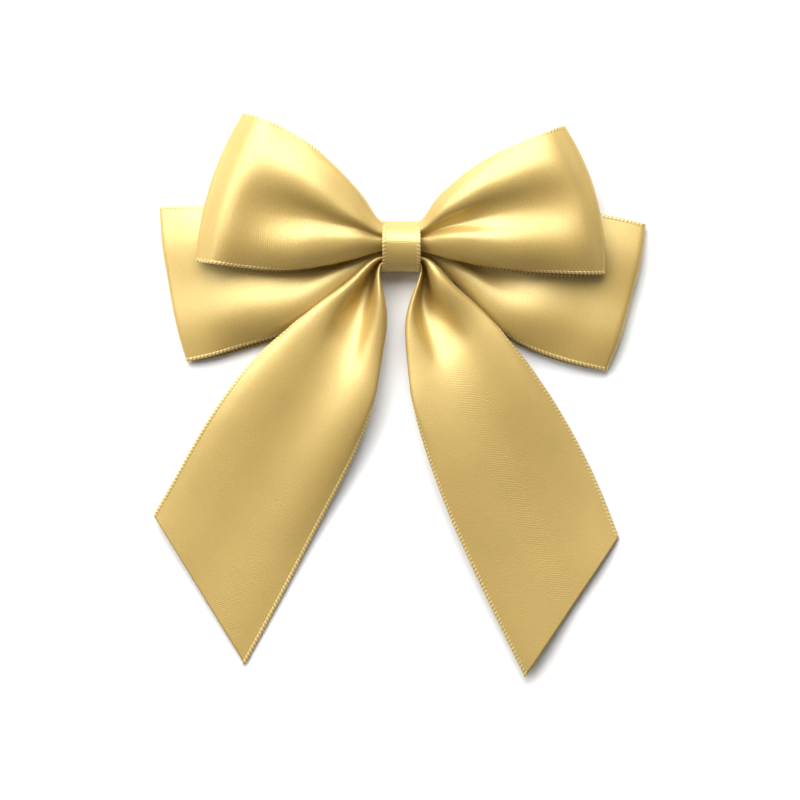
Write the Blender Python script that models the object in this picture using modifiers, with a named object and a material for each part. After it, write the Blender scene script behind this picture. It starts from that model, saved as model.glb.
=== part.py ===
"""A ready-made gift bow of wide satin ribbon, lying face up on a flat surface.

Two flat ribbon rings, a short one in front of a long one, and a strip whose two ends
hang as tails are gathered at the middle, bound with thread, and covered with a narrow
ribbon band. A foam pad with a peel-off liner sits behind the band. Each ribbon bends
where it leaves the band, so its two sides are separate pieces, each on its own hinge.

Metres, +Z out of the bow's face, +Y towards its top, the liner's face at z = 0.
"""

import math

import bmesh
import bpy
from mathutils import Matrix, Vector

MM = 0.001

# Ribbon stock
RIBBON_WIDTH = 40 * MM
RIBBON_THICK = 0.4 * MM
BAND_WIDTH = 10 * MM
BAND_THICK = 0.35 * MM
CLEARANCE = 0.3 * MM

# Band: half height and half depth of its middle line, round the gathered ribbons
KNOT_HALF_HEIGHT = 6.6 * MM
KNOT_HALF_DEPTH = 3.9 * MM
KNOT_SQUARENESS = 2.6
LAP_ANGLE = math.radians(46)
LAP_RISE_ANGLE = math.radians(70)

# Pad behind the band
LINER_THICK = 0.2 * MM
FOAM_THICK = 1.2 * MM
PAD_WIDTH = 9 * MM
PAD_HEIGHT = 10 * MM
LINER_TAB = 1.5 * MM
PAD_GAP = 0.1 * MM
PAD_CORNER = 1.2 * MM

# Binding
THREAD_THICK = 0.5 * MM
THREAD_TURNS = 5
GLUE_THICK = 0.3 * MM

# Every ribbon leaves the band along a straight root line, this far from the band's edge
ROOT_GAP = 1.0 * MM
ROOT_FADE = 16 * MM

# Rings: distance from a root to the middle of its outer fold, and how the fold bows
FRONT_REACH = 45.6 * MM
BACK_REACH = 56.2 * MM
FOLD_BOW = 2.2 * MM
FRONT_GATHER = 6.4 * MM
BACK_GATHER = 9.0 * MM
FRONT_OPENING = 9.8 * MM
BACK_OPENING = 3.2 * MM
FRONT_ROOT_OPENING = 1.8 * MM
BACK_ROOT_OPENING = 1.4 * MM
FULL_WIDTH_AT = 0.8
FRONT_TURN = {"left": math.radians(163.3), "right": math.radians(12.6)}
BACK_TURN = {"left": math.radians(189.6), "right": math.radians(-13.0)}

# Tails
TAIL_REACH = 99.6 * MM
TAIL_GATHER = 3.2 * MM
TAIL_SLANT = math.radians(60)
TAIL_FULL_WIDTH_AT = 48 * MM
# How far a tail lies on the back loop under it, and how far it then takes to come down
TAIL_HELD_UP = 0.55 * RIBBON_WIDTH
TAIL_SETTLES = 0.6 * TAIL_REACH
TAIL_TURN = {"left": math.radians(-119.2), "right": math.radians(-66.4)}

ALONG, ACROSS = 26, 12
SIDES = {"left": -1, "right": 1}

# Heights, worked out from the pad upwards
FOAM_BOTTOM = LINER_THICK + PAD_GAP
FOAM_TOP = FOAM_BOTTOM + FOAM_THICK
LAP_STEP = BAND_THICK + GLUE_THICK + 2 * PAD_GAP
KNOT_HEIGHT = FOAM_TOP + PAD_GAP + BAND_THICK / 2 + LAP_STEP + KNOT_HALF_DEPTH
BAND_EDGE = BAND_WIDTH / 2

# Room inside the band for the thread, and inside the thread for the ribbons
THREAD_INSET = BAND_THICK / 2 + CLEARANCE + THREAD_THICK / 2
BUNDLE_HALF_HEIGHT = KNOT_HALF_HEIGHT - THREAD_INSET - THREAD_THICK / 2 - CLEARANCE
BUNDLE_HALF_DEPTH = KNOT_HALF_DEPTH - THREAD_INSET - THREAD_THICK / 2 - CLEARANCE


def clear_scene():
    for obj in list(bpy.data.objects):
        bpy.data.objects.remove(obj)


def make_collection(name):
    collection = bpy.data.collections.new(name)
    bpy.context.scene.collection.children.link(collection)
    return collection


def make_material(name, colour, roughness, metallic=0.0):
    material = bpy.data.materials.new(name)
    material.use_nodes = True
    shader = material.node_tree.nodes["Principled BSDF"]
    shader.inputs["Base Color"].default_value = (*colour, 1.0)
    shader.inputs["Roughness"].default_value = roughness
    shader.inputs["Metallic"].default_value = metallic
    return material


def add_object(name, mesh, collection, material, location=(0, 0, 0)):
    obj = bpy.data.objects.new(name, mesh)
    obj.location = location
    mesh.materials.append(material)
    mesh.shade_smooth()
    mesh.set_sharp_from_angle(angle=math.radians(40))
    collection.objects.link(obj)
    return obj


def sheet_mesh(name, along, across, place):
    """A grid whose points (u from 0 to 1 along, v from -1 to 1 across) go where place says."""
    bm = bmesh.new()
    bmesh.ops.create_grid(bm, x_segments=along, y_segments=across, size=1.0)
    for vertex in bm.verts:
        vertex.co = place((vertex.co.x + 1) / 2, vertex.co.y)
    mesh = bpy.data.meshes.new(name)
    bm.to_mesh(mesh)
    bm.free()
    return mesh


def add_wall(obj, thickness):
    wall = obj.modifiers.new("wall", "SOLIDIFY")
    wall.thickness = thickness
    wall.offset = 0.0
    wall.use_even_offset = True
    return wall


def smooth_step(x):
    x = min(max(x, 0.0), 1.0)
    return x * x * (3 - 2 * x)


def knot_outline(angle, inset=0.0):
    """A point of the squarish oval round the gather, at an angle from +Y towards +Z."""
    power = 2 / KNOT_SQUARENESS
    c, s = math.cos(angle), math.sin(angle)
    y = (KNOT_HALF_HEIGHT - inset) * math.copysign(abs(c) ** power, c)
    z = (KNOT_HALF_DEPTH - inset) * math.copysign(abs(s) ** power, s)
    return y, z


# The band starts and ends behind the gather, at the bottom of the oval
BAND_START = math.radians(-90) - LAP_ANGLE / 2
BAND_TURN = 2 * math.pi + LAP_ANGLE


def band_point(u, v):
    """One turn and a lap, stepping outwards just before the lap begins."""
    angle = BAND_START + u * BAND_TURN
    rise = smooth_step((angle - BAND_START - 2 * math.pi + LAP_RISE_ANGLE) / LAP_RISE_ANGLE)
    y, z = knot_outline(angle, -LAP_STEP * rise)
    return Vector((v * BAND_EDGE, y, KNOT_HEIGHT + z))


def build_band(collection, satin):
    mesh = sheet_mesh("knot_band", 56, 4, band_point)
    add_wall(add_object("knot_band", mesh, collection, satin), BAND_THICK)


def build_band_glue(collection, glue):
    """A smear of glue between the band's two ends, following the oval."""

    def place(u, v):
        angle = math.radians(-90) + (u - 0.5) * LAP_ANGLE * 0.7
        y, z = knot_outline(angle, -LAP_STEP / 2)
        return Vector((v * BAND_EDGE * 0.7, y, KNOT_HEIGHT + z))

    mesh = sheet_mesh("band_glue", 6, 4, place)
    add_wall(add_object("band_glue", mesh, collection, glue), GLUE_THICK)


def build_thread(collection, cotton):
    """A coil of thread, its turns side by side in the middle of the band."""
    curve = bpy.data.curves.new("binding_thread", "CURVE")
    curve.dimensions = "3D"
    curve.bevel_depth = THREAD_THICK / 2
    curve.bevel_resolution = 1
    curve.use_fill_caps = True
    per_turn = 24
    count = THREAD_TURNS * per_turn + 1
    pitch = THREAD_THICK * 1.5
    spline = curve.splines.new("POLY")
    spline.points.add(count - 1)
    for i in range(count):
        turn = i / per_turn
        y, z = knot_outline(2 * math.pi * turn, THREAD_INSET)
        x = (turn - THREAD_TURNS / 2) * pitch
        spline.points[i].co = (x, y, KNOT_HEIGHT + z, 1)
    obj = bpy.data.objects.new("binding_thread", curve)
    curve.materials.append(cotton)
    collection.objects.link(obj)


def gather_tube(name, collection, material, path, half_height, half_depth):
    """A pressed bundle of ribbon: an oval bar along the path, from end to end."""
    rings, sides = len(path), 16
    bm = bmesh.new()
    bmesh.ops.create_cone(
        bm, cap_ends=True, segments=sides, radius1=1.0, radius2=1.0, depth=1.0,
        matrix=Matrix.Rotation(math.radians(90), 4, "Y"),
    )
    long_edges = [e for e in bm.edges if abs(e.verts[0].co.x - e.verts[1].co.x) > 0.5]
    bmesh.ops.subdivide_edges(bm, edges=long_edges, cuts=rings - 2)
    for vertex in bm.verts:
        step = (vertex.co.x + 0.5) * (rings - 1)
        x, y, z = path[round(step)]
        place = Vector((x, y + vertex.co.y * half_height, z + vertex.co.z * half_depth))
        vertex.co = place
    bmesh.ops.recalc_face_normals(bm, faces=bm.faces)
    mesh = bpy.data.meshes.new(name)
    bm.to_mesh(mesh)
    bm.free()
    return add_object(name, mesh, collection, material)


# Where the three bundles pass through the band, measured from its middle, and their size
FRONT_MIDDLE = (BUNDLE_HALF_HEIGHT * 0.47, BUNDLE_HALF_DEPTH * 0.5)
FRONT_BUNDLE = (BUNDLE_HALF_HEIGHT * 0.42, BUNDLE_HALF_DEPTH * 0.36)
TAIL_MIDDLE = (-BUNDLE_HALF_HEIGHT * 0.56, BUNDLE_HALF_DEPTH * 0.44)
TAIL_BUNDLE = (BUNDLE_HALF_HEIGHT * 0.30, BUNDLE_HALF_DEPTH * 0.36)
BACK_MIDDLE = (-0.6 * MM, -BUNDLE_HALF_DEPTH * 0.56)
BACK_BUNDLE = (BUNDLE_HALF_HEIGHT * 0.62, BUNDLE_HALF_DEPTH * 0.34)


def build_gathers(collection, satin):
    """The part of each ribbon that the band grips."""
    shapes = {
        "front_ring_gather": (FRONT_MIDDLE, FRONT_BUNDLE),
        "tail_gather": (TAIL_MIDDLE, TAIL_BUNDLE),
        "back_ring_gather": (BACK_MIDDLE, BACK_BUNDLE),
    }
    for name, ((y, z), (tall, deep)) in shapes.items():
        path = [(x * BAND_EDGE, y, KNOT_HEIGHT + z) for x in (-1, -0.5, 0, 0.5, 1)]
        gather_tube(name, collection, satin, path, tall, deep)


def widening(share, gather):
    """Half the ribbon's spread, from its gathered root to its full width at a share of 1."""
    spread = math.sin(math.pi / 2 * min(share, 1.0))
    return (gather + (RIBBON_WIDTH - gather) * spread) / 2


def root_shift(x, across, turn):
    """How far to move a point along a turned ribbon so that its root line stays upright."""
    return across * math.tan(turn) * (1 - smooth_step(x / ROOT_FADE))


def loop_place(reach, gather, opening, root_opening, middle_rise, end_drop, pleat, turn):
    """The surface of half a ring, in the frame of its root: out in front, back behind.

    A lengthwise section is a lens, x = reach sin(pi u) and z = opening cos(pi u), so the
    outer fold is tight. Two pleats run out from the root of the front layer.
    """

    def place(u, v):
        t = math.sin(math.pi * u)
        face = math.cos(math.pi * u)
        spread = widening(t / FULL_WIDTH_AT, gather)
        opened = math.sin(math.pi / 2 * min(t / 0.55, 1.0))
        gap = (root_opening + (opening - root_opening) * opened) / 2
        gap *= 1 - 0.35 * v * v * (1 - t)
        middle = middle_rise * math.sin(math.pi * t) + end_drop * t
        fold = max(face, 0.0) * pleat * (1 - t) * t * 4 * math.cos(2 * math.pi * v)
        x = reach * t - FOLD_BOW * (v * v) * t
        x += root_shift(reach * t, v * gather / 2, turn)
        return Vector((x, v * spread, middle + gap * face - fold))

    return place


def tail_place(sign, root_height, turn):
    """A tail in the frame of its root: it rises off the knot, then settles on the table."""

    def place(u, v):
        inner = -sign * v
        length = TAIL_REACH + inner * RIBBON_WIDTH / 2 / math.tan(TAIL_SLANT)
        x = u * length
        spread = widening(x / TAIL_FULL_WIDTH_AT, TAIL_GATHER * abs(math.cos(turn)))
        settle = 1 - smooth_step((x - TAIL_HELD_UP) / TAIL_SETTLES)
        rest = RIBBON_THICK / 2 + 0.1 * MM
        crown = 1.6 * MM * math.sin(math.pi * min(x / (0.45 * TAIL_REACH), 1.0))
        z = rest + (root_height - rest) * settle + crown * (1 - 0.6 * v * v)
        x += root_shift(x, v * TAIL_GATHER / 2 * abs(math.cos(turn)), turn)
        return Vector((x, v * spread, z - root_height))

    return place


def leaf(name, collection, satin, place, root, turn, pivot):
    """A ribbon surface set at its root, turned in plan, with its origin on its hinge."""
    turned = Matrix.Rotation(turn, 3, "Z")
    offset = root - pivot
    mesh = sheet_mesh(name, ALONG, ACROSS, lambda u, v: offset + turned @ place(u, v))
    add_wall(add_object(name, mesh, collection, satin, pivot), RIBBON_THICK)


def build_loops(collection, satin):
    """Front loops lift about the band's edge; back loops swing flat about their root."""
    for side, sign in SIDES.items():
        x = sign * (BAND_EDGE + ROOT_GAP)
        turn = FRONT_TURN[side]
        place = loop_place(
            FRONT_REACH, FRONT_GATHER, FRONT_OPENING, FRONT_ROOT_OPENING,
            middle_rise=3.6 * MM, end_drop=0.3 * MM, pleat=1.0 * MM, turn=turn,
        )
        root = Vector((x, FRONT_MIDDLE[0], KNOT_HEIGHT + FRONT_MIDDLE[1]))
        pivot = root + Vector((0, 0, FRONT_ROOT_OPENING / 2))
        leaf(f"front_loop_{side}", collection, satin, place, root, turn, pivot)
        turn = BACK_TURN[side]
        place = loop_place(
            BACK_REACH, BACK_GATHER, BACK_OPENING, BACK_ROOT_OPENING,
            middle_rise=-0.5 * MM, end_drop=-2.4 * MM, pleat=0.4 * MM, turn=turn,
        )
        root = Vector((x, BACK_MIDDLE[0], KNOT_HEIGHT + BACK_MIDDLE[1]))
        leaf(f"back_loop_{side}", collection, satin, place, root, turn, root)


def build_tails(collection, satin):
    """The tails lift about a line across the bow, level with the top of their roots."""
    root_height = KNOT_HEIGHT + TAIL_MIDDLE[1]
    for side, sign in SIDES.items():
        turn = TAIL_TURN[side]
        root = Vector((sign * (BAND_EDGE + ROOT_GAP), TAIL_MIDDLE[0], root_height))
        pivot = root + Vector((0, TAIL_GATHER / 2, 0))
        place = tail_place(sign, root_height, turn)
        leaf(f"tail_{side}", collection, satin, place, root, turn, pivot)


def rounded_plate(name, collection, material, size, bottom, shift=0.0):
    """A flat rectangle with round corners, resting at the height bottom."""
    width, height, thick = size
    bm = bmesh.new()
    bmesh.ops.create_cube(bm, size=1.0)
    for vertex in bm.verts:
        vertex.co = (
            vertex.co.x * width, vertex.co.y * height + shift, bottom + (vertex.co.z + 0.5) * thick
        )
    upright = [e for e in bm.edges if abs(e.verts[0].co.z - e.verts[1].co.z) > thick / 2]
    bmesh.ops.bevel(
        bm, geom=upright, offset=PAD_CORNER, segments=4, profile=0.5, affect="EDGES"
    )
    mesh = bpy.data.meshes.new(name)
    bm.to_mesh(mesh)
    bm.free()
    return add_object(name, mesh, collection, material)


def build_pad(collection, foam, paper):
    size = (PAD_WIDTH, PAD_HEIGHT, FOAM_THICK)
    rounded_plate("foam_pad", collection, foam, size, FOAM_BOTTOM)
    size = (PAD_WIDTH, PAD_HEIGHT + LINER_TAB, LINER_THICK)
    rounded_plate("release_liner", collection, paper, size, 0.0, shift=LINER_TAB / 2)


def main():
    clear_scene()
    bow = make_collection("gift_bow")
    satin = make_material("gold_satin", (0.66, 0.47, 0.17), 0.36)
    cotton = make_material("gold_thread", (0.55, 0.38, 0.14), 0.7)
    glue = make_material("hot_melt_glue", (0.85, 0.82, 0.72), 0.35)
    foam = make_material("white_foam", (0.86, 0.86, 0.84), 0.8)
    paper = make_material("liner_paper", (0.78, 0.72, 0.6), 0.45)
    build_band(bow, satin)
    build_band_glue(bow, glue)
    build_thread(bow, cotton)
    build_gathers(bow, satin)
    build_loops(bow, satin)
    build_tails(bow, satin)
    build_pad(bow, foam, paper)


main()
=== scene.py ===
"""Looks for a ready-made gift bow of gold satin ribbon, lying face up.

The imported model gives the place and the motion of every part. Each ribbon is made here
as one thin sheet worked out from its two edges and a pleated cross-section, with its
woven edges as pieces of their own. Lengths in the tables are millimetres.
"""

import math

import bmesh
import bpy
import numpy as np
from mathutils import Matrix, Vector


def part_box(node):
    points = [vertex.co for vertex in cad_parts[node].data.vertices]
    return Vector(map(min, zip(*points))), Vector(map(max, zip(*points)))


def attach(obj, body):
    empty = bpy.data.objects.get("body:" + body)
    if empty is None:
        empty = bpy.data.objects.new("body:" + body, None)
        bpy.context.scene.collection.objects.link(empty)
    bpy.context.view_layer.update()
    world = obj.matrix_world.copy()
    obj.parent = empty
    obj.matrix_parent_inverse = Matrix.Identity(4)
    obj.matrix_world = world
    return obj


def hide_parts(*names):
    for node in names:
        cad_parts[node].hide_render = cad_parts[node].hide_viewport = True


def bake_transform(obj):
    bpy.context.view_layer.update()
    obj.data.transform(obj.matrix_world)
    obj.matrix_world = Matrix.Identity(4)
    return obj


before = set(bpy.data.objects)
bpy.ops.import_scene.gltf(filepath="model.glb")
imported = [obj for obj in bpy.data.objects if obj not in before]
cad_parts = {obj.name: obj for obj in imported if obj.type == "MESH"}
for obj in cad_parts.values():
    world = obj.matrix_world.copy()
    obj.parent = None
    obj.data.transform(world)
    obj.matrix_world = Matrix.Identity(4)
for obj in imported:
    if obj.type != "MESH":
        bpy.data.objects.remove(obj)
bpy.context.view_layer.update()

MM = 0.001

# Ribbon stock: widths and thicknesses
RIBBON = 40.0
THICK = 0.26
BAND = 10.0
BAND_THICK = 0.24

# Woven edge: its width, the way from one loop of weft to the next, and how many loops
# further on a loop ends than it starts. Near the knot it is THINNED, from THIN_UNTIL on
# it widens, and after WIDENS more it is full.
SELVEDGE = 0.95
PITCH = 1.04
SLANT = 0.45
THINNED = 0.3
THIN_UNTIL = 7
WIDENS = 5

# Pleats: points across a ribbon, the steepest slope and the most that the edges turn
# under in radians, and how much of a half wave runs on beyond a ridge
ACROSS = 81
STEEPEST = 1.35
TURN_UNDER = 1.9
BEYOND_RIDGE = 0.6

# Sections from the knot to the fold of a loop, round its fold, and along a tail
LOOP_ROWS = 110
FOLD_STEPS = 11
TAIL_ROWS = 200

# Levels over the table: the lowest that a tail comes, how softly it stops there, and the
# middle of the knot. CREST is how far the band's crest lies towards the bow's top.
LOWEST = 0.1
SOFTLY = 0.5
KNOT_HEIGHT = 6.525
CREST = 1.0

# Shares of a ribbon's way out from the knot at which the tables give a value
LOOP_AT = np.array([0.0, 0.1, 0.2, 0.35, 0.5, 0.65, 0.82, 0.94, 1.0])
TAIL_AT = np.array([0.0, 0.05, 0.1, 0.17, 0.25, 0.35, 0.5, 0.7, 0.85, 1.0])


# ---------------------------------------------------------------- curves and surfaces


def through(at, values, where):
    """The natural cubic spline through the values at `at`: slope and bend run on through
    every point, and there is no bend at the two ends. The bends solve one set of
    equations, each of which makes the slopes meet at one point."""
    at = np.asarray(at, float)
    values = np.asarray(values, float)
    if values.ndim == 1:
        return through(at, values[:, None], where)[..., 0]
    gap = np.diff(at)
    rise = np.diff(values, axis=0) / gap[:, None]
    slopes_meet = np.diag(np.r_[1, 2 * (gap[:-1] + gap[1:]), 1])
    slopes_meet += np.diag(np.r_[gap[:-1], 0], -1) + np.diag(np.r_[0, gap[1:]], 1)
    bend = np.zeros_like(values)
    bend[1:-1] = 6 * np.diff(rise, axis=0)
    bend = np.linalg.solve(slopes_meet, bend)
    part = np.clip(np.searchsorted(at, where, side="right") - 1, 0, len(at) - 2)
    h = gap[part][:, None]
    t = (where - at[part])[:, None] / h
    u = 1 - t
    line = u * values[part] + t * values[part + 1]
    return line + ((u**3 - u) * bend[part] + (t**3 - t) * bend[part + 1]) * h * h / 6


def distances(line):
    """How far along a line of points each point lies: the sum of the steps before it."""
    return np.r_[0, np.cumsum(np.linalg.norm(np.diff(line, axis=0), axis=1))]


def points_at(line, run, at):
    """The points at the distances `at` on a line whose own points lie at `run`."""
    return np.stack([np.interp(at, run, column) for column in line.T], axis=1)


def edge_line(points, rows):
    """Points evenly spaced along the smooth line through a ribbon edge's plan points."""
    points = np.array(points, float)
    chord = distances(points)
    fine = through(chord, points, np.linspace(0, chord[-1], 900))
    run = distances(fine)
    return points_at(fine, run, np.linspace(0, run[-1], rows))


def halve_towards(test, low, high, shape):
    """The value in each row at which test turns from true to false, by halving."""
    low = np.full(shape, low)
    high = np.full(shape, high)
    for _ in range(30):
        middle = (low + high) / 2
        more = test(middle)
        low = np.where(more, middle, low)
        high = np.where(more, high, middle)
    return (low + high) / 2


def pleated_section(
    spread, flat, arch_share, low_ridge, valley, high_ridge, crease, roll, ease, lean
):
    """A ribbon's cross-sections, each `flat` long, pushed together to `spread`.

    The slope across is a * S - b * v, with v from -1 to 1 across. S is sin(pi * w), where
    w is -1 at the low ridge, 0 in the valley and 1 on the high ridge. crease makes S turn
    suddenly in the valley, lean weakens it between the low ridge and the valley, and ease
    weakens it beyond each ridge. b alone would make a plain arch; arch_share of it is
    used, and a is what brings the width to the spread. Then roll turns the outer tenth of
    the ribbon on each side down and under. Returns how far across each point comes, from
    0 to 1, and how high.
    """
    v = np.linspace(-1, 1, ACROSS)[None, :]
    # The cloth is always a little wider than its spread, with a soft lower limit
    tight = 1.004 * spread
    flat = tight + 0.35 * np.logaddexp(0, (flat - tight) / 0.35)
    ratio = (spread / flat)[:, None]
    shape = ratio.shape
    arch = halve_towards(lambda b: np.sin(b) / b > ratio, 1e-3, 2.6, shape)
    steepest_arch = 1.45
    arch = np.minimum(arch, steepest_arch) * arch_share[:, None]
    # The wave across, and what crease, lean and ease do to it
    low, mid, high = (x[:, None] for x in (low_ridge, valley, high_ridge))
    w = np.where(v < mid, (v - mid) / (mid - low), (v - mid) / (high - mid))
    w = np.where(v < low, -1 - (low - v) / (1 + low) * BEYOND_RIDGE, w)
    w = np.where(v > high, 1 + (v - high) / (1 - high) * BEYOND_RIDGE, w)
    wave = np.sin(np.pi * w)
    sudden = 1 - crease[:, None] * np.exp(-((w / 0.35) ** 2))
    wave = np.sign(wave) * np.abs(wave) ** sudden
    wave = wave * np.where((w < 0) & (w > -1), 1 - lean, 1)
    past = np.clip((np.abs(w) - 0.85) / 0.6, 0, 1)
    wave = wave * (1 - np.where(v < mid, ease[0], ease[1]) * past)

    def too_wide(a):
        return np.mean(np.cos(a * wave - arch * v), axis=1, keepdims=True) > ratio

    # Pleats steep enough to take up the width, edges turned under, slopes summed
    pleat = halve_towards(too_wide, 0.0, STEEPEST, shape)
    under = np.clip((np.abs(v) - 0.8) / 0.2, 0, 1) ** 1.5 * np.sign(v)
    slope = pleat * wave - arch * v - TURN_UNDER * roll[:, None] * under
    half = flat[:, None] / (ACROSS - 1)
    y = np.cumsum(np.cos(slope), axis=1)
    z = np.cumsum(np.sin(slope), axis=1) * half
    y = (y - y.min(axis=1, keepdims=True)) / np.ptp(y, axis=1)[:, None]
    z = z - z[:, :1]
    return y, z - z[:, -1:] * (v + 1) / 2


def sheet_between(lower, upper, heights, table, at, press=1.0, rolled=1.0, skew=0.0):
    """The sheet between two plan edges: sections from pleated_section, set on the edges'
    heights and pressed to press times gain; rolled scales the edges' roll. Rows go out
    from the knot, columns from the lower edge to the upper."""
    out = np.linspace(0, 1, len(lower))
    gap = upper - lower
    spread = np.linalg.norm(gap, axis=1)
    flat = np.hypot(RIBBON, skew * out)
    keys = ("arch", "low_ridge", "valley", "high_ridge", "crease")
    shares = [through(at, table[key], out) for key in keys]
    roll = rolled * through(at, table["roll"], out)
    lean = table.get("lean", 0.0)
    y, z = pleated_section(spread, flat, *shares, roll, table["ease"], lean)
    gain = press * through(at, table["gain"], out)
    low, high = heights
    plan = lower[:, None, :] + gap[:, None, :] * y[:, :, None]
    level = low[:, None] * (1 - y) + high[:, None] * y
    return np.dstack([plan, level + z * gain[:, None]])


def grid_mesh(name, points, along, across, flip=False):
    """A mesh over a grid of points in millimetres, with its cloth map in centimetres."""
    rows, cols = points.shape[:2]
    mesh = bpy.data.meshes.new(name)
    index = np.arange(rows * cols).reshape(rows, cols)
    corners = index[:-1, :-1], index[1:, :-1], index[1:, 1:], index[:-1, 1:]
    quads = np.stack(corners, axis=-1).reshape(-1, 4)
    if flip:
        quads = quads[:, ::-1]
    mesh.from_pydata((points.reshape(-1, 3) * MM).tolist(), [], quads.tolist())
    cloth = np.stack(np.broadcast_arrays(along, across), axis=-1).reshape(-1, 2) / 10
    layer = mesh.uv_layers.new(name="cloth")
    layer.data.foreach_set("uv", cloth[quads.reshape(-1)].astype(np.float32).reshape(-1))
    mesh.shade_smooth()
    return mesh


def add_piece(name, mesh, material):
    """A new object in the scene, at the origin, with its material."""
    obj = bpy.data.objects.new(name, mesh)
    mesh.materials.append(material)
    bpy.context.scene.collection.objects.link(obj)
    return obj


def faces_up(points):
    """Whether the grid's faces, taken row then column, look mostly upwards."""
    a = points[1:, :-1] - points[:-1, :-1]
    b = points[:-1, 1:] - points[:-1, :-1]
    return np.cross(a, b)[..., 2].sum() > 0


def lengths_along(points):
    """Each point's distance along its own column of the grid."""
    steps = np.linalg.norm(np.diff(points, axis=0), axis=2)
    return np.vstack([np.zeros(points.shape[1]), np.cumsum(steps, axis=0)])


def selvedge_mesh(name, points, side, flip, thinned=None):
    """A woven edge: a flat oval tube along the sheet's edge, swelling once every PITCH
    on a slant, so that it reads as a row of loops of the weft. It is thinned towards the
    knot: at its "start" on a tail, at "both ends" on a loop, nowhere on the band."""
    edge, inner = points[:, 0], points[:, 3]
    if side > 0:
        edge, inner = points[:, -1], points[:, -4]
    run = distances(edge)
    count = int(run[-1] / PITCH * 8)
    at = np.linspace(0, run[-1], count)
    edge, inner = points_at(edge, run, at), points_at(inner, run, at)
    ahead = np.gradient(edge, axis=0)
    ahead /= np.linalg.norm(ahead, axis=1, keepdims=True)
    inward = inner - edge
    inward -= ahead * np.sum(inward * ahead, axis=1, keepdims=True)
    inward /= np.linalg.norm(inward, axis=1, keepdims=True)
    up = np.cross(ahead, inward)
    size = np.ones((count, 1))
    if thinned:
        free = np.minimum(at, run[-1] - at) if thinned == "both ends" else at
        widening = np.clip((free[:, None] - THIN_UNTIL) / WIDENS, 0, 1)
        size = THINNED + (1 - THINNED) * widening
    turn = np.linspace(0, 2 * np.pi, 15)[None, :]
    place = (0.5 - 0.5 * np.cos(turn)) * SELVEDGE * size
    phase = 2 * np.pi * (at[:, None] / PITCH + SLANT * place / SELVEDGE)
    swell = 0.5 + 0.5 * np.cos(phase)
    across = place - 0.05 - 0.09 * swell * (0.5 + 0.5 * np.cos(turn))
    oval = np.sign(np.sin(turn)) * np.abs(np.sin(turn)) ** 0.45
    tall = (THICK / 2 * size + (0.04 + 0.06 * swell) * size**2) * oval
    tube = edge[:, None, :] + inward[:, None, :] * across[..., None]
    tube = tube + up[:, None, :] * tall[..., None]
    return grid_mesh(name, tube, at[:, None], place, flip=flip)


def close_tube(mesh):
    """Joins a tube's seam and caps its ends, then points its faces outwards."""
    bm = bmesh.new()
    bm.from_mesh(mesh)
    bmesh.ops.remove_doubles(bm, verts=bm.verts, dist=1e-7)
    rims = [e for e in bm.edges if e.is_boundary]
    bmesh.ops.holes_fill(bm, edges=rims, sides=0)
    bmesh.ops.recalc_face_normals(bm, faces=bm.faces)
    bm.to_mesh(mesh)
    bm.free()


def add_wall(obj, thick):
    """Gives a sheet its thickness, half on each side."""
    wall = obj.modifiers.new("cloth thickness", "SOLIDIFY")
    wall.thickness = thick * MM
    wall.offset = 0.0


# ---------------------------------------------------------------- materials


def new_group(name, inputs, outputs):
    """An empty node group: inputs are name, kind and value, outputs name and kind."""
    group = bpy.data.node_groups.new(name, "ShaderNodeTree")
    for label, kind, value in inputs:
        socket = group.interface.new_socket(name=label, in_out="INPUT", socket_type=kind)
        if value is not None:
            socket.default_value = value
    for label, kind in outputs:
        group.interface.new_socket(name=label, in_out="OUTPUT", socket_type=kind)
    return group


class Nodes:
    """Short ways to add nodes to one tree and to join them."""

    def __init__(self, tree):
        self.tree = tree

    def add(self, kind, **settings):
        node = self.tree.nodes.new(kind)
        for key, value in settings.items():
            setattr(node, key, value)
        return node

    def join(self, source, target):
        self.tree.links.new(source, target)

    def math(self, operation, first, second=0.0, third=None):
        """A sum on values and sockets in any mixture; returns its output."""
        node = self.add("ShaderNodeMath", operation=operation)
        for slot, value in enumerate((first, second, third)):
            if value is None:
                continue
            if isinstance(value, (int, float)):
                node.inputs[slot].default_value = value
            else:
                self.join(value, node.inputs[slot])
        return node.outputs[0]

    def mix(self, amount, first, second):
        """A colour between first and second; each may be a colour or a socket."""
        node = self.add("ShaderNodeMix", data_type="RGBA")
        for socket, value in ((0, amount), (6, first), (7, second)):
            if isinstance(value, tuple):
                node.inputs[socket].default_value = (*value, 1.0)
            elif isinstance(value, (int, float)):
                node.inputs[socket].default_value = value
            else:
                self.join(value, node.inputs[socket])
        return node.outputs[2]


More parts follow.
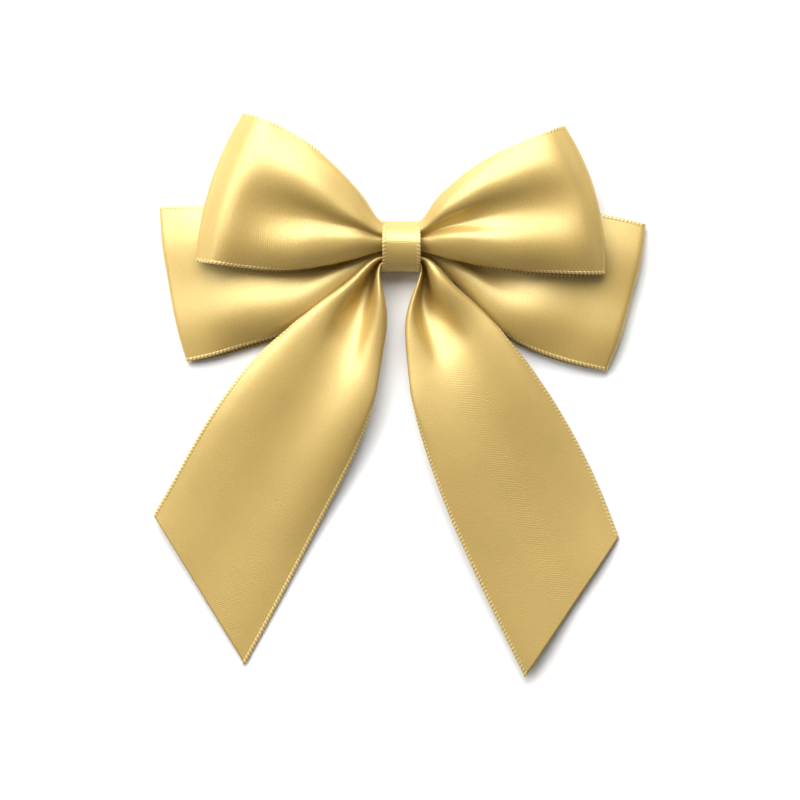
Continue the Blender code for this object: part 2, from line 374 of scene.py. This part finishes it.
def satin_weave_group():
    """Weft ribs across the ribbon and a slanting grain of long floats over them.

    Height is the sum of a fine wave every Rib centimetres along the ribbon and of noise
    drawn out along a slant. Grain is the same noise for colour, and Cloudy is broad, soft
    noise for the slight unevenness of the dye.
    """
    group = new_group(
        "satin weave",
        [("Rib", "NodeSocketFloat", 0.05)],
        [(label, "NodeSocketFloat") for label in ("Height", "Grain", "Cloudy")],
    )
    n = Nodes(group)
    given = n.add("NodeGroupInput")
    result = n.add("NodeGroupOutput")
    cloth = n.add("ShaderNodeUVMap", uv_map="cloth")
    parts = n.add("ShaderNodeSeparateXYZ")
    n.join(cloth.outputs["UV"], parts.inputs[0])
    along = parts.outputs[0]
    turns = n.math("MULTIPLY", along, 2 * math.pi)
    ribs = n.math("SINE", n.math("DIVIDE", turns, given.outputs["Rib"]))
    turned = n.add("ShaderNodeMapping")
    turned.inputs["Scale"].default_value = (1.0, 3.2, 1.0)
    n.join(cloth.outputs["UV"], turned.inputs["Vector"])
    turned.inputs["Rotation"].default_value = (0, 0, 0.75)
    floats = n.add("ShaderNodeTexNoise")
    floats.inputs["Scale"].default_value = 26.0
    floats.inputs["Detail"].default_value = 2.0
    n.join(turned.outputs[0], floats.inputs["Vector"])
    cloudy = n.add("ShaderNodeTexNoise")
    cloudy.inputs["Scale"].default_value = 0.9
    cloudy.inputs["Detail"].default_value = 2.0
    n.join(cloth.outputs["UV"], cloudy.inputs["Vector"])
    grain = n.math("MULTIPLY", floats.outputs[0], 1.2)
    height = n.math("ADD", n.math("MULTIPLY", ribs, 0.35), grain)
    n.join(height, result.inputs["Height"])
    n.join(floats.outputs[0], result.inputs["Grain"])
    n.join(cloudy.outputs[0], result.inputs["Cloudy"])
    return group


def principled(name):
    """A new material, its shader, and short ways to add to its nodes."""
    material = bpy.data.materials.new(name)
    material.use_nodes = True
    shader = material.node_tree.nodes["Principled BSDF"]
    return material, shader, Nodes(material.node_tree)


def edge_loops_group():
    """A mask that is 1 on each slanting loop of a woven edge and 0 between the loops."""
    group = new_group(
        "edge loops",
        [
            ("Pitch", "NodeSocketFloat", PITCH / 10),
            ("Width", "NodeSocketFloat", SELVEDGE / 10),
        ],
        [("Loops", "NodeSocketFloat")],
    )
    n = Nodes(group)
    given = n.add("NodeGroupInput")
    result = n.add("NodeGroupOutput")
    cloth = n.add("ShaderNodeUVMap", uv_map="cloth")
    parts = n.add("ShaderNodeSeparateXYZ")
    n.join(cloth.outputs["UV"], parts.inputs[0])
    slant = n.math("MULTIPLY", parts.outputs[1], SLANT)
    slant = n.math("DIVIDE", slant, given.outputs["Width"])
    turns = n.math("ADD", n.math("DIVIDE", parts.outputs[0], given.outputs["Pitch"]), slant)
    swell = n.math("COSINE", n.math("MULTIPLY", turns, 2 * math.pi))
    n.join(n.math("MULTIPLY_ADD", swell, 0.5, 0.5), result.inputs["Loops"])
    return group


def satin_material(name, weave, light, dark, roughness, bump, loops=None):
    """Satin ribbon: a soft metallic sheen over its weave.

    The colour goes from dark to light with the grain, or with the loops on a woven edge,
    and is clouded a little in brightness. The roughness follows the grain a little.
    """
    material, shader, n = principled(name)
    cloth = n.add("ShaderNodeGroup", node_tree=weave)
    share = n.math("MULTIPLY_ADD", cloth.outputs["Grain"], 4.0, -1.5)
    if loops:
        share = n.add("ShaderNodeGroup", node_tree=loops).outputs["Loops"]
    colour = n.mix(share, dark, light)
    cloud = n.math("MULTIPLY_ADD", cloth.outputs["Cloudy"], 0.16, 0.92)
    tint = n.add("ShaderNodeHueSaturation")
    n.join(colour, tint.inputs["Color"])
    n.join(cloud, tint.inputs["Value"])
    n.join(tint.outputs[0], shader.inputs["Base Color"])
    rough = n.math("MULTIPLY_ADD", cloth.outputs["Grain"], 0.12, roughness - 0.06)
    n.join(rough, shader.inputs["Roughness"])
    relief = n.add("ShaderNodeBump")
    relief.inputs["Strength"].default_value = bump
    relief.inputs["Distance"].default_value = 0.02 * MM
    n.join(cloth.outputs["Height"], relief.inputs["Height"])
    n.join(relief.outputs[0], shader.inputs["Normal"])
    shader.inputs["Metallic"].default_value = 0.25
    shader.inputs["IOR"].default_value = 2.3
    shader.inputs["Specular Tint"].default_value = (0.93, 1.0, 0.68, 1.0)
    return material


def plain_material(name, colour, roughness, grain, scale):
    """A matt or waxy finish with fine noise in its colour and relief."""
    material, shader, n = principled(name)
    place = n.add("ShaderNodeTexCoord")
    noise = n.add("ShaderNodeTexNoise")
    noise.inputs["Scale"].default_value = scale
    noise.inputs["Detail"].default_value = 4.0
    n.join(place.outputs["Object"], noise.inputs["Vector"])
    darker = tuple(c * (1 - grain) for c in colour)
    n.join(n.mix(noise.outputs[0], darker, colour), shader.inputs["Base Color"])
    relief = n.add("ShaderNodeBump")
    relief.inputs["Strength"].default_value = 0.5
    relief.inputs["Distance"].default_value = 0.05 * MM
    n.join(noise.outputs[0], relief.inputs["Height"])
    n.join(relief.outputs[0], shader.inputs["Normal"])
    shader.inputs["Roughness"].default_value = roughness
    return material


weave = satin_weave_group()
loops = edge_loops_group()
SATIN = satin_material(
    "gold satin", weave, (0.62, 0.42, 0.125), (0.46, 0.295, 0.075), 0.42, 1.5
)
EDGING = satin_material(
    "woven edge", weave, (0.74, 0.54, 0.21), (0.40, 0.25, 0.065), 0.48, 0.3, loops
)
THREAD = plain_material("gold thread", (0.55, 0.38, 0.14), 0.6, 0.4, 3000)
GLUE = plain_material("set glue", (0.85, 0.82, 0.72), 0.35, 0.15, 900)
FOAM = plain_material("white foam", (0.86, 0.86, 0.84), 0.85, 0.2, 2500)
LINER = plain_material("waxed paper", (0.78, 0.72, 0.60), 0.45, 0.12, 1200)
FLOOR = plain_material("white table", (0.93, 0.93, 0.93), 0.85, 0.01, 40)


# ---------------------------------------------------------------- ribbon tables

# One table for each half ribbon. The points are its two edges seen from above, from the
# middle of the knot outwards, as x and y. A row of numbers gives one for each share of
# the way out in LOOP_AT or TAIL_AT:
#   upper_z, lower_z, outer_z, inner_z   height of each edge; on a loop, of its front layer
#   back_z      height of a loop's back layer
#   arch        how much of a plain arch is in the cross-section
#   gain        how much of their full height the pleats have
#   low_ridge, valley, high_ridge        where these lie across the ribbon, from -1 to 1
#   crease      how sudden the turn in the valley is
#   roll        how far the edges turn down and under
# The others are single values:
#   bow         how far a loop's outer fold bows outwards in its middle
#   ease        how much the slope weakens beyond the low ridge and beyond the high one
#   lean        how much it weakens between the low ridge and the valley
#   press       how tall the back layer's pleats are, next to the front layer's
#   back_shift  how far the back layer's upper and lower edges lie from the front layer's
#   skew        how much further out a tail's slanting cut is at one edge

LOOP_ROLL = (0.9, 0.9, 0.9, 0.8, 0.5, 0.15, 0.0, 0.0, 0.0)

FRONT_LOOP = {
    "press": 0.14,
    "crease": (0.6, 0.6, 0.6, 0.5, 0.3, 0.1, 0.0, 0.0, 0.0),
    "roll": LOOP_ROLL,
    "back_z": (6.8, 6.8, 7.0, 7.3, 7.5, 7.6, 7.6, 7.4, 7.1),
}

BACK_LOOP = {
    "bow": 0.8,
    "upper_z": (5.0, 5.0, 4.8, 4.2, 3.8, 3.6, 3.4, 3.0, 2.4),
    "lower_z": (4.6, 4.2, 3.3, 3.0, 3.0, 3.1, 3.2, 2.9, 2.4),
    "ease": (0.4, 0.4),
    "press": 0.12,
    "arch": (0.0, 0.0, 0.1, 0.3, 0.5, 0.7, 0.8, 0.8, 0.8),
    "gain": (0.16, 0.24, 0.32, 0.4, 0.5, 0.7, 0.9, 1.0, 1.0),
    "low_ridge": (-0.62, -0.62, -0.62, -0.6, -0.6, -0.6, -0.6, -0.6, -0.6),
    "valley": (0.0, 0.0, 0.0, 0.0, 0.0, 0.0, 0.0, 0.0, 0.0),
    "high_ridge": (0.62, 0.62, 0.62, 0.6, 0.6, 0.6, 0.6, 0.6, 0.6),
    "crease": (0.3, 0.3, 0.3, 0.2, 0.1, 0.0, 0.0, 0.0, 0.0),
    "roll": LOOP_ROLL,
    "back_z": (3.5, 3.3, 2.3, 1.3, 0.8, 0.6, 0.5, 0.5, 0.7),
}

TAIL = {
    "ease": (0.4, 0.4),
    "arch": (0.0, 0.0, 0.0, 0.05, 0.35, 0.65, 0.8, 0.8, 0.8, 0.8),
    "gain": (0.1, 0.2, 0.75, 0.85, 0.5, 0.3, 0.35, 0.35, 0.3, 0.3),
    "low_ridge": (-0.7, -0.7, -0.72, -0.74, -0.75, -0.75, -0.75, -0.75, -0.75, -0.75),
    "high_ridge": (0.7, 0.7, 0.72, 0.74, 0.75, 0.75, 0.75, 0.75, 0.75, 0.75),
    "crease": (0.5, 0.5, 0.45, 0.15, 0.0, 0.0, 0.0, 0.0, 0.0, 0.0),
    "roll": (0.9, 0.9, 0.9, 0.85, 0.6, 0.15, 0.0, 0.0, 0.0, 0.0),
}

LOOPS = {
    "front_loop_left": {
        **FRONT_LOOP,
        "upper": [(0, 4.8), (-5.5, 6.3), (-8.8, 11.1), (-12.4, 15.7), (-16.5, 20.0),
                  (-20.8, 24.0), (-25.5, 27.5), (-30.6, 30.5), (-35.9, 33.1),
                  (-41.4, 34.8)],
        "lower": [(0, -0.6), (-4.9, -1.1), (-10.8, -2.8), (-16.9, -4.3), (-23.0, -5.4),
                  (-29.1, -6.1), (-35.3, -6.1), (-41.5, -5.6), (-47.7, -4.8),
                  (-53.8, -3.9)],
        "bow": 1.9,
        "upper_z": (8.3, 8.6, 9.6, 11.2, 12.2, 12.8, 13.0, 12.2, 8.8),
        "lower_z": (8.0, 7.8, 8.1, 8.6, 9.0, 9.8, 11.0, 11.8, 8.6),
        "ease": (0.4, 0.85),
        "lean": 0.7,
        "arch": (0.0, 0.0, 0.05, 0.12, 0.22, 0.38, 0.75, 1.0, 1.0),
        "gain": (0.16, 0.3, 0.5, 0.56, 0.6, 0.68, 0.85, 1.0, 1.0),
        "low_ridge": (-0.2, -0.2, -0.22, -0.3, -0.4, -0.55, -0.6, -0.6, -0.6),
        "valley": (0.02, 0.02, 0.02, -0.05, -0.1, -0.18, -0.2, -0.2, -0.2),
        "high_ridge": (0.3, 0.33, 0.36, 0.4, 0.5, 0.55, 0.55, 0.55, 0.55),
        "back_shift": (-0.2, -0.45),
    },
    "front_loop_right": {
        **FRONT_LOOP,
        "upper": [(0, 4.8), (5.0, 6.4), (8.4, 11.4), (12.4, 15.4), (16.8, 19.0),
                  (21.7, 22.2), (26.8, 24.9), (32.1, 27.4), (37.4, 29.5), (42.7, 31.5)],
        "lower": [(0, -0.8), (5.1, -1.3), (11.0, -2.9), (17.0, -4.3), (22.9, -5.3),
                  (29.0, -6.1), (35.0, -6.7), (41.1, -7.0), (47.2, -7.2), (53.3, -7.1)],
        "bow": 2.2,
        "upper_z": (8.3, 8.6, 9.8, 11.8, 13.0, 13.6, 13.0, 11.4, 8.8),
        "lower_z": (8.0, 7.8, 8.4, 9.4, 10.3, 10.8, 10.8, 10.1, 8.6),
        "ease": (0.4, 0.7),
        "lean": 0.15,
        "arch": (0.0, 0.0, 0.1, 0.3, 0.45, 0.52, 0.65, 0.85, 1.0),
        "gain": (0.16, 0.32, 0.55, 0.66, 0.62, 0.6, 0.65, 0.8, 1.0),
        "low_ridge": (-0.3, -0.28, -0.28, -0.3, -0.4, -0.5, -0.6, -0.6, -0.6),
        "valley": (-0.02, 0.0, 0.02, 0.04, 0.06, 0.05, 0.0, 0.0, 0.0),
        "high_ridge": (0.5, 0.52, 0.55, 0.55, 0.52, 0.55, 0.6, 0.6, 0.6),
        "back_shift": (-0.2, -0.8),
    },
    "back_loop_left": {
        **BACK_LOOP,
        "upper": [(0, 3.0), (-4.8, 2.9), (-11.8, 6.0), (-18.9, 8.1), (-26.2, 9.5),
                  (-33.6, 10.2), (-41.1, 10.5), (-48.6, 10.5), (-56.1, 10.5),
                  (-63.5, 10.5)],
        "lower": [(0, -2.6), (-4.9, -2.9), (-10.6, -7.4), (-16.3, -12.3),
                  (-22.1, -17.1), (-28.3, -21.1), (-35.0, -24.1), (-42.1, -26.2),
                  (-49.3, -28.5), (-56.4, -30.1)],
        "back_shift": (0.0, -0.9),
    },
    "back_loop_right": {
        **BACK_LOOP,
        "upper": [(0, 3.0), (5.1, 2.8), (12.2, 5.5), (19.5, 7.5), (26.9, 8.7),
                  (34.3, 9.4), (41.8, 9.4), (49.3, 8.8), (56.7, 7.6), (64.1, 5.9)],
        "lower": [(0, -2.4), (5.2, -2.6), (11.3, -6.5), (16.5, -11.7), (21.4, -17.3),
                  (26.7, -22.3), (32.8, -26.1), (39.6, -28.9), (46.7, -31.0),
                  (53.9, -32.6)],
        "back_shift": (0.0, -0.5),
    },
}

TAILS = {
    "tail_left": {
        **TAIL,
        "outer": [(0, -4.4), (-4.9, -2.6), (-12.4, -7.9), (-19.7, -13.5),
                  (-27.0, -19.3), (-34.1, -25.2), (-40.6, -31.6), (-46.3, -38.8),
                  (-51.4, -46.5), (-56.1, -54.5), (-60.6, -62.6), (-65.2, -70.5)],
        "inner": [(0, -5.4), (-4.9, -3.9), (-4.1, -15.4), (-4.8, -26.7), (-6.7, -37.9),
                  (-9.9, -48.8), (-14.6, -59.3), (-19.9, -69.5), (-25.1, -79.5),
                  (-30.3, -89.6), (-35.7, -99.7), (-41.2, -109.8)],
        "skew": 22.0,
        "outer_z": (5.8, 7.1, 6.7, 6.3, 6.0, 6.4, 6.0, 4.4, 3.2, 2.4),
        "inner_z": (5.8, 5.8, 5.0, 4.6, 5.0, 5.6, 4.0, 1.6, 0.8, 0.5),
        "valley": (-0.2, -0.25, -0.3, -0.28, -0.08, 0.0, 0.0, 0.0, 0.0, 0.0),
    },
    "tail_right": {
        **TAIL,
        "outer": [(0, -4.4), (5.1, -2.6), (12.2, -8.4), (18.9, -14.7), (25.3, -21.3),
                  (31.2, -28.3), (36.6, -35.6), (41.6, -43.3), (46.1, -51.2),
                  (50.2, -59.4), (53.8, -67.8), (57.1, -76.4)],
        "inner": [(0, -5.4), (4.9, -3.8), (2.0, -15.3), (1.3, -26.8), (2.5, -38.1),
                  (5.1, -49.4), (8.7, -60.4), (12.9, -71.2), (17.6, -81.9),
                  (22.5, -92.4), (27.5, -102.8), (32.5, -113.1)],
        "skew": 24.0,
        "outer_z": (5.8, 6.6, 6.4, 6.2, 6.0, 6.2, 5.0, 2.2, 0.9, 0.5),
        "inner_z": (5.8, 5.8, 5.0, 4.6, 5.0, 5.8, 5.4, 4.0, 3.0, 2.2),
        "valley": (0.1, 0.15, 0.2, 0.24, 0.08, 0.0, 0.0, 0.0, 0.0, 0.0),
    },
}

# The gather inside the band that each pair of ribbon halves runs on into
GATHERS = {
    "front_loop": "front_ring_gather",
    "back_loop": "back_ring_gather",
    "tail": "tail_gather",
}


# ---------------------------------------------------------------- ribbons


def ease_rows(points, start, stop, passes):
    """Averages each row from start to stop with the rows on both sides, passes times."""
    for _ in range(passes):
        beside = points[start - 1 : stop - 1] + points[start + 1 : stop + 1]
        points[start:stop] = beside / 4 + points[start:stop] / 2


def loop_points(table):
    """Half a ring: the front layer out to the fold, a half turn round it, and the back
    layer home, narrower by a tuck beside the knot. The fold bows outwards by `bow` in its
    middle."""
    rows = LOOP_ROWS
    out = np.linspace(0, 1, rows)
    upper = edge_line(table["upper"], rows)
    lower = edge_line(table["lower"], rows)
    v = np.linspace(-1, 1, ACROSS)
    side = np.sign(table["upper"][-1][0])
    fold_x, fold_y = upper[-1] - lower[-1]
    ahead = np.array([fold_y, -fold_x])
    ahead *= side * np.sign(ahead[0]) / np.linalg.norm(ahead)
    radius = (table["upper_z"][-1] - table["back_z"][-1]) / 2
    bow = (table["bow"] * (1 - v * v)[None, :] - radius) * (out**3)[:, None]

    levels = [through(LOOP_AT, table[key], out) for key in ("lower_z", "upper_z")]
    front = sheet_between(lower, upper, levels, table, LOOP_AT)
    front[..., :2] += bow[..., None] * ahead

    shift = np.sin(np.pi * out**2)
    tuck = np.exp(-((out / 0.3) ** 2))
    upper_shift, lower_shift = table["back_shift"]
    upper = upper + np.stack([0 * out, upper_shift * shift - tuck], axis=1)
    lower = lower + np.stack([0 * out, lower_shift * shift + tuck], axis=1)
    levels = [through(LOOP_AT, table["back_z"], out)] * 2
    back = sheet_between(lower, upper, levels, table, LOOP_AT, table["press"], rolled=0.0)
    back[..., :2] += bow[..., None] * ahead

    middle = (front[-1, :, 2] + back[-1, :, 2]) / 2
    radius = (front[-1, :, 2] - back[-1, :, 2]) / 2
    turn = np.linspace(np.pi / 2, -np.pi / 2, FOLD_STEPS)[1:-1, None]
    fold = np.repeat(front[-1][None], len(turn), axis=0)
    fold[..., :2] += (radius[None, :] * np.cos(turn))[..., None] * ahead
    fold[..., 2] = middle[None, :] + radius[None, :] * np.sin(turn)

    whole = np.concatenate([front, fold, back[::-1]])
    near = 8
    fold_start, fold_end = rows - near, rows + len(fold) + near
    ease_rows(whole, 2, fold_start, 16)
    ease_rows(whole, fold_start, fold_end, 3)
    ease_rows(whole, fold_end, len(whole) - 2, 16)
    return whole


def tail_points(table):
    """A tail, from the middle of the knot to its slanting end. Its height is kept over
    LOWEST by a curve that is softly rounded there: LOWEST + h * ln(1 + e^(over / h))."""
    rows = TAIL_ROWS
    out = np.linspace(0, 1, rows)
    outer = edge_line(table["outer"], rows)
    inner = edge_line(table["inner"], rows)
    levels = [through(TAIL_AT, table[key], out) for key in ("outer_z", "inner_z")]
    points = sheet_between(outer, inner, levels, table, TAIL_AT, skew=table["skew"])
    ease_rows(points, 2, rows - 2, 16)
    over = points[..., 2] - LOWEST
    points[..., 2] = LOWEST + SOFTLY * np.logaddexp(0, over / SOFTLY)
    return points


def add_woven_edges(name, points, labels, flip, thinned=None):
    """The two woven edges of a sheet, its first column's and its last column's."""
    edges = []
    for side, label in zip((-1, 1), labels):
        mesh = selvedge_mesh(f"{name}_{label}", points, side, flip, thinned)
        close_tube(mesh)
        edges.append(add_piece(f"{name}_{label}_woven_edge", mesh, EDGING))
    return edges


def add_ribbon(node, points, thinned):
    """One ribbon half and its woven edges, with their transforms baked in. It stands for
    its node and for the gather that its strip makes inside the band."""
    flip = not faces_up(points[: len(points) // 3])
    along = lengths_along(points)
    across = np.broadcast_to(np.linspace(-1, 1, ACROSS) * RIBBON / 2, along.shape)
    mesh = grid_mesh(node, points, along, across, flip)
    ribbon = add_piece(f"{node}_ribbon", mesh, SATIN)
    add_wall(ribbon, THICK)
    edges = add_woven_edges(node, points, ("lower", "upper"), flip, thinned)
    for piece in (ribbon, *edges):
        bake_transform(piece)
    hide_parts(node, GATHERS[node.rsplit("_", 1)[0]])


def build_ribbons():
    """All six ribbon halves: the four loops, then the two tails."""
    for node, table in LOOPS.items():
        add_ribbon(node, loop_points(table), "both ends")
    for node, table in TAILS.items():
        points = tail_points(table)
        add_ribbon(node, points, "start")


# ---------------------------------------------------------------- knot and pad


def build_band():
    """The narrow ribbon round the knot: y goes as cos(angle) ** power and z as
    sin(angle) ** power. Above, the power makes a soft ridge at CREST, hollowed a little at
    the middle of the band's width; below, it makes a squarish oval, and the ribbon steps
    outwards where its end laps over its start."""
    rows, cols = 240, 41
    out = np.linspace(0, 1, rows)[:, None]
    v = np.linspace(-1, 1, cols)[None, :]
    (_, low_y, _), (_, high_y, high_z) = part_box("knot_band")
    inset = 0.15
    half_y = (high_y - low_y) / 2 / MM - inset
    half_z = high_z / MM - KNOT_HEIGHT - inset
    lap = math.radians(46)
    rising = 0.9
    lap_step = 0.75
    angle = -math.pi / 2 - lap / 2 + out * (2 * math.pi + lap)
    step = np.clip((angle - (1.5 * math.pi - lap / 2 - rising)) / rising, 0, 1)
    step = step * step * (3 - 2 * step)
    c, s = np.cos(angle), np.sin(angle)
    above = s > 0
    power = np.where(above, 1.25, 2 / 2.6)
    crest = CREST * np.clip(2 * s + 1, 0, 1)
    rise = np.where(above, half_z + 2.2 * np.clip(2 * s, 0, 1), half_z)
    hollow = (1 - v * v) * above
    pinch = 0.4 * hollow * s**4
    narrowed = 0.6 * hollow * np.abs(s) ** 0.5 * (1 - s)
    reach = half_y + lap_step * step * np.abs(s) ** 0.3 - narrowed
    y = crest + (reach - np.sign(c) * crest) * np.sign(c) * np.abs(c) ** power
    z = (rise + lap_step * step - pinch) * np.sign(s) * np.abs(s) ** power
    x = v * (BAND / 2 - 0.1) + 0 * c
    points = np.dstack(np.broadcast_arrays(x, y, KNOT_HEIGHT + z))
    ease_rows(points, 2, rows - 2, 50)
    along = lengths_along(points)
    across = np.broadcast_to(v * (BAND / 2), along.shape)
    mesh = grid_mesh("band", points, along, across, flip=True)
    band = add_piece("knot_band_ribbon", mesh, SATIN)
    add_wall(band, BAND_THICK)
    edges = add_woven_edges("knot_band", points, ("left", "right"), True)
    for piece in (band, *edges):
        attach(piece, "core")
    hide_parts("knot_band")


def finish_cad_nodes():
    """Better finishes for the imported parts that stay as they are."""
    finishes = {
        "binding_thread": THREAD,
        "band_glue": GLUE,
        "foam_pad": FOAM,
        "release_liner": LINER,
    }
    for node, material in finishes.items():
        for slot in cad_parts[node].material_slots:
            slot.material = material


# ---------------------------------------------------------------- floor, light, camera


# Name, place in metres, size across in metres and power in watts
LIGHTS = (
    ("north window", (-0.085, 0.48, 0.50), 0.72, 9.6),
    ("west window", (-0.53, 0.20, 0.50), 0.55, 3.8),
    ("fill", (0.6, 0.3, 0.7), 0.8, 1.1),
)
AIM = (0, -0.04, 0)
WORLD_LIGHT = 0.11

FLOOR_HALF = 900.0
FLOOR_LEVEL = -0.05

CAMERA_HEIGHT = 1.4
CAMERA_OVER = (-0.00039, -0.04027)
VIEW_ACROSS = 0.21056
SENSOR = 36


def build_stage():
    """A plain white table top, and soft light mostly from the top of the bow."""
    x, y = np.meshgrid([-FLOOR_HALF, FLOOR_HALF], [-FLOOR_HALF, FLOOR_HALF])
    corners = np.dstack([x, y, np.full_like(x, FLOOR_LEVEL)])
    mesh = grid_mesh("floor", corners, y, x, flip=True)
    add_piece("table_top", mesh, FLOOR)
    world = bpy.data.worlds.new("studio")
    bpy.context.scene.world = world
    world.use_nodes = True
    back = world.node_tree.nodes["Background"]
    back.inputs["Color"].default_value = (1.0, 0.99, 0.97, 1)
    back.inputs["Strength"].default_value = WORLD_LIGHT
    for name, place, size, power in LIGHTS:
        light = bpy.data.lights.new(name, "AREA")
        light.shape = "DISK"
        light.size = size
        light.energy = power
        obj = bpy.data.objects.new(name, light)
        obj.location = place
        towards = Vector(AIM) - Vector(place)
        obj.rotation_euler = towards.to_track_quat("-Z", "Y").to_euler()
        bpy.context.scene.collection.objects.link(obj)


def build_camera():
    """A camera straight above the bow, which sees VIEW_ACROSS metres of the table."""
    camera = bpy.data.cameras.new("camera")
    camera.sensor_width = SENSOR
    camera.lens = camera.sensor_width * CAMERA_HEIGHT / VIEW_ACROSS
    obj = bpy.data.objects.new("camera", camera)
    obj.location = (*CAMERA_OVER, CAMERA_HEIGHT)
    bpy.context.scene.collection.objects.link(obj)
    bpy.context.scene.camera = obj
    bpy.context.scene.view_settings.view_transform = "Standard"


build_ribbons()
build_band()
finish_cad_nodes()
build_stage()
build_camera()
